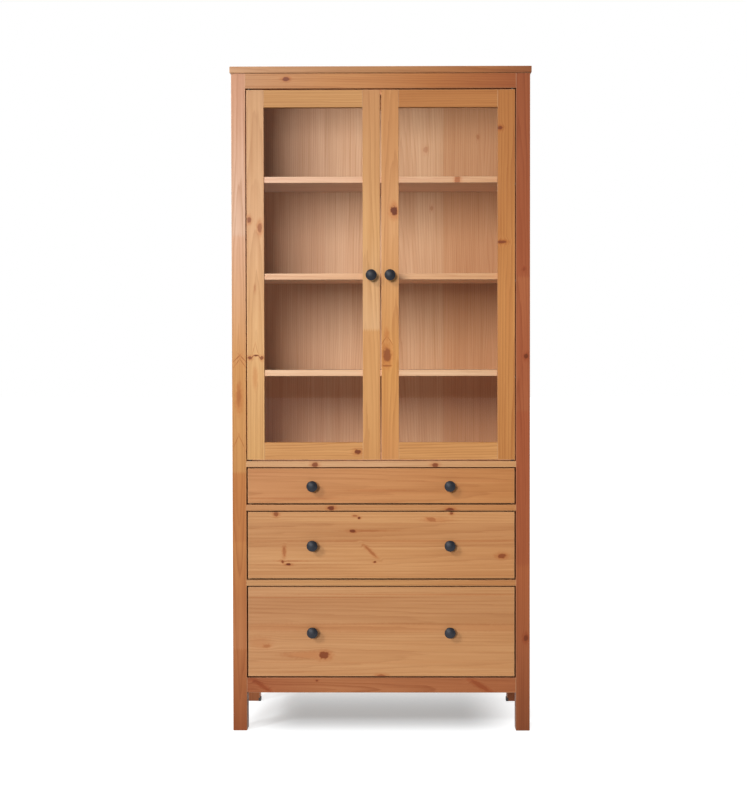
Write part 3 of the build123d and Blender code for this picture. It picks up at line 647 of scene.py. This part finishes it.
# %% Rails and dividers
finish(pine("door_sill_rail", LEVEL, [(-404, (221, 174, 127)), (0, (225, 180, 136)),
                                      (404, (217, 167, 115))], seed=7.5, ring=6.0,
            pith=(25, 20), contrast=0.5,
            knots=[(-198, 801, 15, 12, 0.8), (162, 800, 15, 12, 0.8)]),
       "door_sill_rail")
finish(pine("upper_drawer_rail", LEVEL, [(-404, (210, 154, 105)), (0, (213, 160, 108)),
                                         (404, (205, 147, 92))], seed=8.1, ring=5.0,
            pith=(18, 26), contrast=0.5,
            knots=[(-150, 671, 17, 11, 0.95), (207, 665, 22, 12, 0.9)]),
       "upper_drawer_rail")
finish(pine("lower_drawer_rail", LEVEL, [(-404, (208, 158, 108)), (0, (208, 157, 102)),
                                         (404, (196, 138, 86))], seed=9.6, ring=5.0,
            pith=(-20, 30)), "lower_drawer_rail")
finish(pine("front_bottom_rail", LEVEL, [(-404, (169, 99, 61)), (-150, (182, 119, 76)),
                                         (404, (170, 104, 64))], seed=10.2, ring=7.0,
            pith=(10, 30), lean=0.04,
            knots=[(-362, 138, 13, 34, 0.5, 1.33), (299, 135, 17, 34, 0.5, 1.5),
                   (-194, 151, 6, 5, 0.9)]),
       "front_bottom_rail")
finish(pine("side_rails", FRONT_TO_BACK, [(-170, (196, 138, 92)), (196, (190, 130, 86))],
            seed=11.8, ring=7.0, pith=(0, 420)), "side_rails")
for number, name in enumerate(("rear_top_rail", "rear_bottom_rail", "door_stop")):
    finish(pine(name, LEVEL, [(-404, (200, 146, 104)), (404, (192, 136, 94))],
                seed=12.3 + number, ring=7.0, pith=(12, 30)), name)

# %% [markdown]
# ## Panels and shelves
#
# The back is a thin veneered panel. Its grain runs upright in broad leaves, which show as soft
# stripes and arches behind the glass. The shelves and the floor of the glazed part are glued
# from staves, and their front edges are the palest wood of all.

# %% Back, sides and shelves
finish(pine("back_panel", UPRIGHT, [(-410, (201, 155, 120)), (-182, (202, 165, 135)),
                                    (-178, (202, 167, 137)), (193, (203, 165, 130)),
                                    (197, (199, 155, 116)), (410, (202, 157, 118))],
            seed=13.1, ring=6.0, pith=(0, 70), lean=0.03, wander=22, contrast=0.5,
            staves=(187, 7), tone_axis=0,
            knots=[(138, 1781, 12, 18, 0.3, 0.0, 0.4), (157, 1596, 9, 12, 0.3, 0.0, 0.4),
                   (304, 1820, 8, 12, 0.3, 0.0, 0.4), (323, 1830, 22, 90, 0.0, 0.0, 0.12),
                   (343, 1455, 18, 60, 0.0, 0.0, 0.12), (-137, 960, 22, 90, 0.0, 0.0, 0.12),
                   (343, 1100, 20, 70, 0.0, 0.0, 0.12)]), "back_panel")
for side, place in (("left", -416), ("right", 416)):
    finish(pine(side + "_side_panel", UPRIGHT_SIDE,
                [(150, (198, 142, 98)), (1940, (204, 150, 106))], seed=14.2 + place,
                ring=10.0, pith=(30, 80), lean=0.06, staves=(92, 12)), side + "_side_panel")
shelf_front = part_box("upper_shelf")[0].y / MM
for number, (name, left, right) in enumerate((
        ("upper_shelf", (194, 163, 144), (210, 165, 127)),
        ("middle_shelf", (195, 159, 132), (216, 168, 126)),
        ("lower_shelf", (214, 182, 154), (231, 191, 154)),
        ("compartment_floor", (236, 196, 164), (226, 180, 142)))):
    finish(pine(name, FLAT, [(-404, left), (404, right)], seed=15.7 + number, ring=8.0,
                pith=(10, 60), lean=0.04, contrast=0.4, staves=(80, 14),
                knots=[(230, shelf_front, 26, 12, 0.5)] if name == "upper_shelf" else ()), name)

# %% [markdown]
# ## Doors
#
# Each door has two upright stiles and two rails between them. The left door is the palest part
# of the front, with a pair of knots beside the lower shelf, and the right door's outer stile is
# nearly as brown as the post beside it.

# %% Door frames
finish(pine("left_door_outer_stile", UPRIGHT,
            [(816, (229, 180, 117)), (1100, (241, 194, 135)), (1500, (240, 193, 148)),
             (1920, (222, 174, 128))], seed=16.1, ring=8.0, pith=(3, 30), lean=0.04,
            wander=26, contrast=0.45,
            knots=[(-392, 1122, 12, 8, 0.8), (-376, 1129, 13, 4, 0.95),
                   (-357, 1122, 9, 9, 0.75), (-384, 1126, 12, 2.5, 0.7, 0.6),
                   (-366, 1126, 12, 2.5, 0.7, -0.6), (-381, 1147, 6, 4, 0.3, 4.0),
                   (-371, 1147, 6, 4, 0.3, -4.0), (-376, 1062, 9, 36, 0.0, 0.0, 0.7),
                   (-393, 1534, 11, 14, 0.7), (-361, 1510, 12, 24, 0.55),
                   (-377, 1330, 5, 14, 0.15, 0.0, 0.5)]),
       "left_door_outer_stile")
finish(pine("left_door_inner_stile", UPRIGHT,
            [(816, (220, 164, 102)), (1207, (227, 171, 110)), (1210, (235, 189, 139)),
             (1500, (233, 182, 123)), (1920, (216, 161, 107))], seed=17.4, ring=7.0,
            pith=(-16, 44), lean=0.02, wander=20, contrast=0.45, teeth=True),
       "left_door_inner_stile")
finish(pine("right_door_inner_stile", UPRIGHT,
            [(816, (220, 159, 98)), (1100, (225, 164, 92)), (1500, (233, 178, 123)),
             (1920, (214, 155, 96))], seed=18.3, ring=7.5, pith=(18, 40), lean=0.03,
            wander=22, contrast=0.45,
            knots=[(40, 1560, 17, 24, 0.95), (18, 1130, 20, 34, 0.7),
                   (12, 1174, 10, 3, 0.35, 2.0), (25, 1174, 10, 3, 0.35, -2.0),
                   (18, 1098, 16, 4, 0.5), (18, 1190, 8, 20, 0.0, 0.0, 0.8)]),
       "right_door_inner_stile")
finish(pine("right_door_outer_stile", UPRIGHT,
            [(816, (205, 143, 80)), (1300, (213, 149, 84)), (1920, (192, 127, 66))],
            seed=19.9, ring=6.0, pith=(30, 50), lean=0.01, wander=15, contrast=0.6,
            knots=[(356, 1807, 15, 9, 0.85), (362, 1467, 24, 8, 0.8)]),
       "right_door_outer_stile")
finish(pine("left_door_rails", LEVEL, [(816, (225, 170, 109)), (869, (225, 170, 109)),
                                       (1868, (216, 163, 103)), (1920, (216, 163, 103))],
            seed=20.5, ring=7.0, pith=(480, 40), lean=0.03, contrast=0.65, tone_axis=2,
            knots=[(-69, 840, 17, 12, 0.9)]), "left_door_rails")
finish(pine("right_door_rails", LEVEL, [(816, (221, 165, 103)), (869, (221, 165, 103)),
                                        (1868, (197, 133, 73)), (1920, (197, 133, 73))],
            seed=21.7, ring=7.0, pith=(480, 40), lean=0.03, contrast=0.65, tone_axis=2),
       "right_door_rails")
for side in ("left", "right"):
    finish(pine(side + "_door_glazing_beads", UPRIGHT,
                [(860, (206, 150, 104)), (1880, (206, 150, 104))], seed=22.2, ring=5.0),
           side + "_door_glazing_beads")

# %% [markdown]
# ## Drawers
#
# The three fronts are glued from staves with level grain and carry most of the knots. Their
# places were read from the photograph and are written here in millimetres, from the middle of
# the cabinet and from the floor. The boxes behind them are plain pale pine.

# %% Drawer fronts and boxes
finish(pine("upper_drawer_front", LEVEL, [(-400, (216, 157, 107)), (0, (213, 153, 99)),
                                          (400, (206, 145, 88))], seed=23.5, ring=8.0,
            pith=(10, 50), lean=0.02, wander=12, staves=(68, 18), contrast=0.4,
            knots=[(0, 724, 90, 5, 0.0, 0.0, 0.5), (-250, 700, 200, 3, 0.0, 0.0, 0.4),
                   (250, 752, 260, 3, 0.0, 0.0, 0.4)]), "upper_drawer_front")
finish(pine("middle_drawer_front", LEVEL, [(-400, (212, 159, 109)), (0, (213, 159, 106)),
                                           (400, (208, 153, 101))], seed=24.1, ring=8.0,
            pith=(-15, 50), lean=0.02, wander=12, staves=(72, 6), contrast=0.4,
            knots=[(-315, 654, 11, 13, 0.7), (-78, 648, 11, 5, 0.5), (-66, 642, 7, 6, 1.0),
                   (-86, 602, 15, 8, 0.9), (-40, 603, 80, 4, 0.0, 0.0, 0.7),
                   (165, 636, 46, 9, 0.0, 0.0, 0.6), (150, 637, 20, 6, 0.35, 2.0),
                   (-291, 541, 7, 22, 0.35), (-296, 511, 7, 9, 0.8),
                   (-268, 512, 52, 2, 0.4), (-278, 502, 13, 6, 1.0),
                   (-31, 540, 8, 26, 0.35, 1.0), (-19, 509, 7, 5, 0.9),
                   (362, 527, 20, 13, 0.75), (211, 655, 9, 7, 0.8),
                   (150, 572, 500, 4, 0.0, 0.0, 0.5)]),
       "middle_drawer_front")
finish(pine("lower_drawer_front", LEVEL, [(-400, (210, 159, 113)), (0, (206, 154, 105)),
                                          (400, (201, 149, 100))], seed=25.9, ring=8.5,
            pith=(20, 55), lean=0.02, wander=12, staves=(84, -22), contrast=0.35,
            knots=[(-172, 228, 26, 19, 0.85), (-226, 229, 66, 12, 0.0, 0.0, 0.8),
                   (-345, 256, 16, 8, 0.2), (-366, 266, 36, 22, 0.0, 0.0, 0.5),
                   (0, 165, 22, 9, 0.6), (0, 311, 900, 15, 0.0, 0.0, 0.45),
                   (190, 411, 420, 2.5, 0.0, 0.0, 0.7), (-250, 402, 300, 2, 0.0, 0.0, 0.6),
                   (0, 207, 900, 1.5, 0.0, 0.0, 0.4)]), "lower_drawer_front")
for number, drawer in enumerate(("upper_drawer", "middle_drawer", "lower_drawer")):
    finish(pine(drawer + "_sides", FRONT_TO_BACK, [(-170, (226, 190, 146)), (170, (222, 186, 142))],
                seed=26.4 + number, ring=8.0, pith=(0, 420)), drawer + "_sides")
    finish(pine(drawer + "_back", LEVEL, [(-400, (226, 190, 146)), (400, (222, 186, 142))],
                seed=27.4 + number, ring=8.0), drawer + "_back")
    finish(pine(drawer + "_bottom", FLAT, [(-400, (230, 196, 152)), (400, (226, 192, 148))],
                seed=28.4 + number, ring=12.0, pith=(0, 90), lean=0.05, contrast=0.3),
           drawer + "_bottom")
finish(pine("drawer_runners", FRONT_TO_BACK, [(-170, (220, 182, 136)), (196, (216, 176, 130))],
            seed=29.8, ring=3.0, contrast=0.2), "drawer_runners")
finish(pine("rail_dowels", LEVEL, [(-450, (224, 186, 140)), (450, (220, 182, 136))],
            seed=30.6, ring=3.0, contrast=0.2), "rail_dowels")

# %% [markdown]
# ## Glass, metal and plastic
#
# The panes are clear. A real lamp shines through a pane, but Blender would take the glass for a
# wall when it looks from the shelf back to the lamp, and the inside would go black. So for the
# rays that carry light in, the pane is a transparent shader, and for the camera it is glass.

# %% Clear glass
clear_glass = bpy.data.materials.new("clear glass")
clear_glass.use_nodes = True
tree = clear_glass.node_tree
tree.nodes.clear()
ray = add(tree, "LightPath").outputs
lets_through = sum_up(tree, "MAXIMUM", sum_up(tree, "MAXIMUM", ray["Is Shadow Ray"],
                                              ray["Is Diffuse Ray"]), ray["Is Glossy Ray"])
smears = grain_noise(tree, add(tree, "TexCoord").outputs["Object"], 1.0, 9.0, 4.0, 3.0)[0]
pane = add(tree, "BsdfPrincipled", {
    "Base Color": (0.985, 0.995, 0.99, 1.0), "Roughness": ease(tree, smears, 0.4, 0.8, 0.0, 0.03),
    "IOR": 1.45, "Transmission Weight": 1.0, "Specular IOR Level": 0.15})
open_air = add(tree, "BsdfTransparent", {"Color": (0.97, 0.98, 0.975, 1.0)})
shown = add(tree, "MixShader", {0: lets_through, 1: pane.outputs[0], 2: open_air.outputs[0]})
add(tree, "OutputMaterial", {"Surface": shown.outputs[0]})
finish(clear_glass, "left_door_glass", "right_door_glass")


# %% [markdown]
# The knobs are dark coated metal with the faint unevenness of a coating, worn a little in spots.
# Shelf pins and screws are bright steel, the doors' pins and bushes are brown and the blocks
# at the rear feet are black plastic. One function makes all of these from a colour and two numbers.

# %% Metal and plastic
def coated(name, base, worn, metallic, rough, grain_size, wear=0.15):
    """A metal or plastic surface with a fine unevenness and slightly worn spots."""
    material = bpy.data.materials.new(name)
    material.use_nodes = True
    tree = material.node_tree
    tree.nodes.clear()
    place = add(tree, "TexCoord").outputs["Object"]
    speckle = grain_noise(tree, place, 5.0, 1 / grain_size, 1 / grain_size, 3.0)[0]
    patches = ease(tree, grain_noise(tree, place, 8.0, 60.0, 60.0, 3.0)[0], 0.55, 0.75, 0.0, wear)
    bump = add(tree, "Bump", {"Strength": 0.2, "Distance": 0.0001, "Height": speckle})
    surface = add(tree, "BsdfPrincipled", {
        "Base Color": blend(tree, patches, base, worn), "Metallic": metallic,
        "Roughness": sum_up(tree, "MULTIPLY_ADD", speckle, 0.2, rough - 0.1),
        "Normal": bump.outputs[0]})
    add(tree, "OutputMaterial", {"Surface": surface.outputs[0]})
    return material


knob_metal = coated("knob metal", colour(32, 35, 44), colour(70, 72, 80), 0.3, 0.5, 0.0012)
bright_steel = coated("bright steel", colour(190, 190, 188), colour(150, 148, 142), 1.0, 0.32,
                      0.001)
nylon = coated("brown nylon", colour(74, 46, 30), colour(104, 72, 50), 0.0, 0.5, 0.002)
black_plastic = coated("black plastic", colour(26, 26, 27), colour(60, 60, 60), 0.0, 0.55, 0.0015)
finish(bright_steel, "shelf_pins", "left_door_knob_screw",
       "right_door_knob_screw", "upper_drawer_knob_screws", "middle_drawer_knob_screws",
       "lower_drawer_knob_screws")
finish(nylon, "hinge_pins", "left_door_hinge_bushes", "right_door_hinge_bushes")
finish(black_plastic, "rear_feet")

# %% [markdown]
# ## Knobs
#
# A knob is a turned piece: a foot on the wood, a waist, and a flat mushroom head with a thin
# rim. The CAD knobs have the right size but show flat facets up close. Here the same outline
# is spun round its axis as a fine mesh and shaded smooth, with the rim kept crisp by the
# outline's own close steps.

# %% Turn the knobs
knob_outline = [(9.0, 0.0), (8.1, 1.4), (7.35, 3.4), (7.0, 6.0), (7.35, 8.6), (8.1, 10.6),
                (9.0, 12.0), (10.6, 13.4), (13.2, 15.4), (15.6, 17.2), (16.3, 18.0),
                (16.5, 18.6), (16.5, 20.1), (16.2, 20.8), (15.2, 21.5), (12.8, 22.9),
                (10.2, 24.1), (7.2, 25.1), (4.0, 25.7), (0.0, 26.0)]
wood_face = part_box("upper_drawer_front")[0].y


def turn_knobs(name, replaced, body):
    """Smooth knobs in place of the CAD ones, one at each place where those stand."""
    low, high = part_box(replaced)
    height = (low.z + high.z) / 2
    radius = 16.5 * MM
    spots = sorted({low.x + radius, high.x - radius}) if high.x - low.x > 0.1 else [
        (low.x + high.x) / 2]
    shape = bmesh.new()
    for x in spots:
        points = [shape.verts.new((x + r * MM, wood_face - out * MM, height))
                  for r, out in knob_outline]
        edges = [shape.edges.new(pair) for pair in zip(points, points[1:])]
        bmesh.ops.spin(shape, geom=points + edges, cent=(x, wood_face, height),
                       axis=(0, 1, 0), angle=math.tau, steps=64, use_merge=True)
    bmesh.ops.remove_doubles(shape, verts=shape.verts, dist=0.00001)
    rims = [edge for edge in shape.edges if edge.is_boundary]
    bmesh.ops.holes_fill(shape, edges=rims, sides=0)
    bmesh.ops.recalc_face_normals(shape, faces=shape.faces)
    for face in shape.faces:
        face.smooth = len(face.verts) < 5
    mesh = bpy.data.meshes.new(name)
    shape.to_mesh(mesh)
    shape.free()
    piece = bpy.data.objects.new(name, mesh)
    bpy.context.scene.collection.objects.link(piece)
    mesh.materials.append(knob_metal)
    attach(piece, body)
    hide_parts(replaced)
    print(name, "faces:", len(mesh.polygons))
    return piece


for side in ("left", "right"):
    turn_knobs(f"{side}_door_turned_knob", f"{side}_door_knob", f"{side}_door")
for drawer in ("upper_drawer", "middle_drawer", "lower_drawer"):
    turn_knobs(f"{drawer}_turned_knobs", f"{drawer}_knobs", drawer)
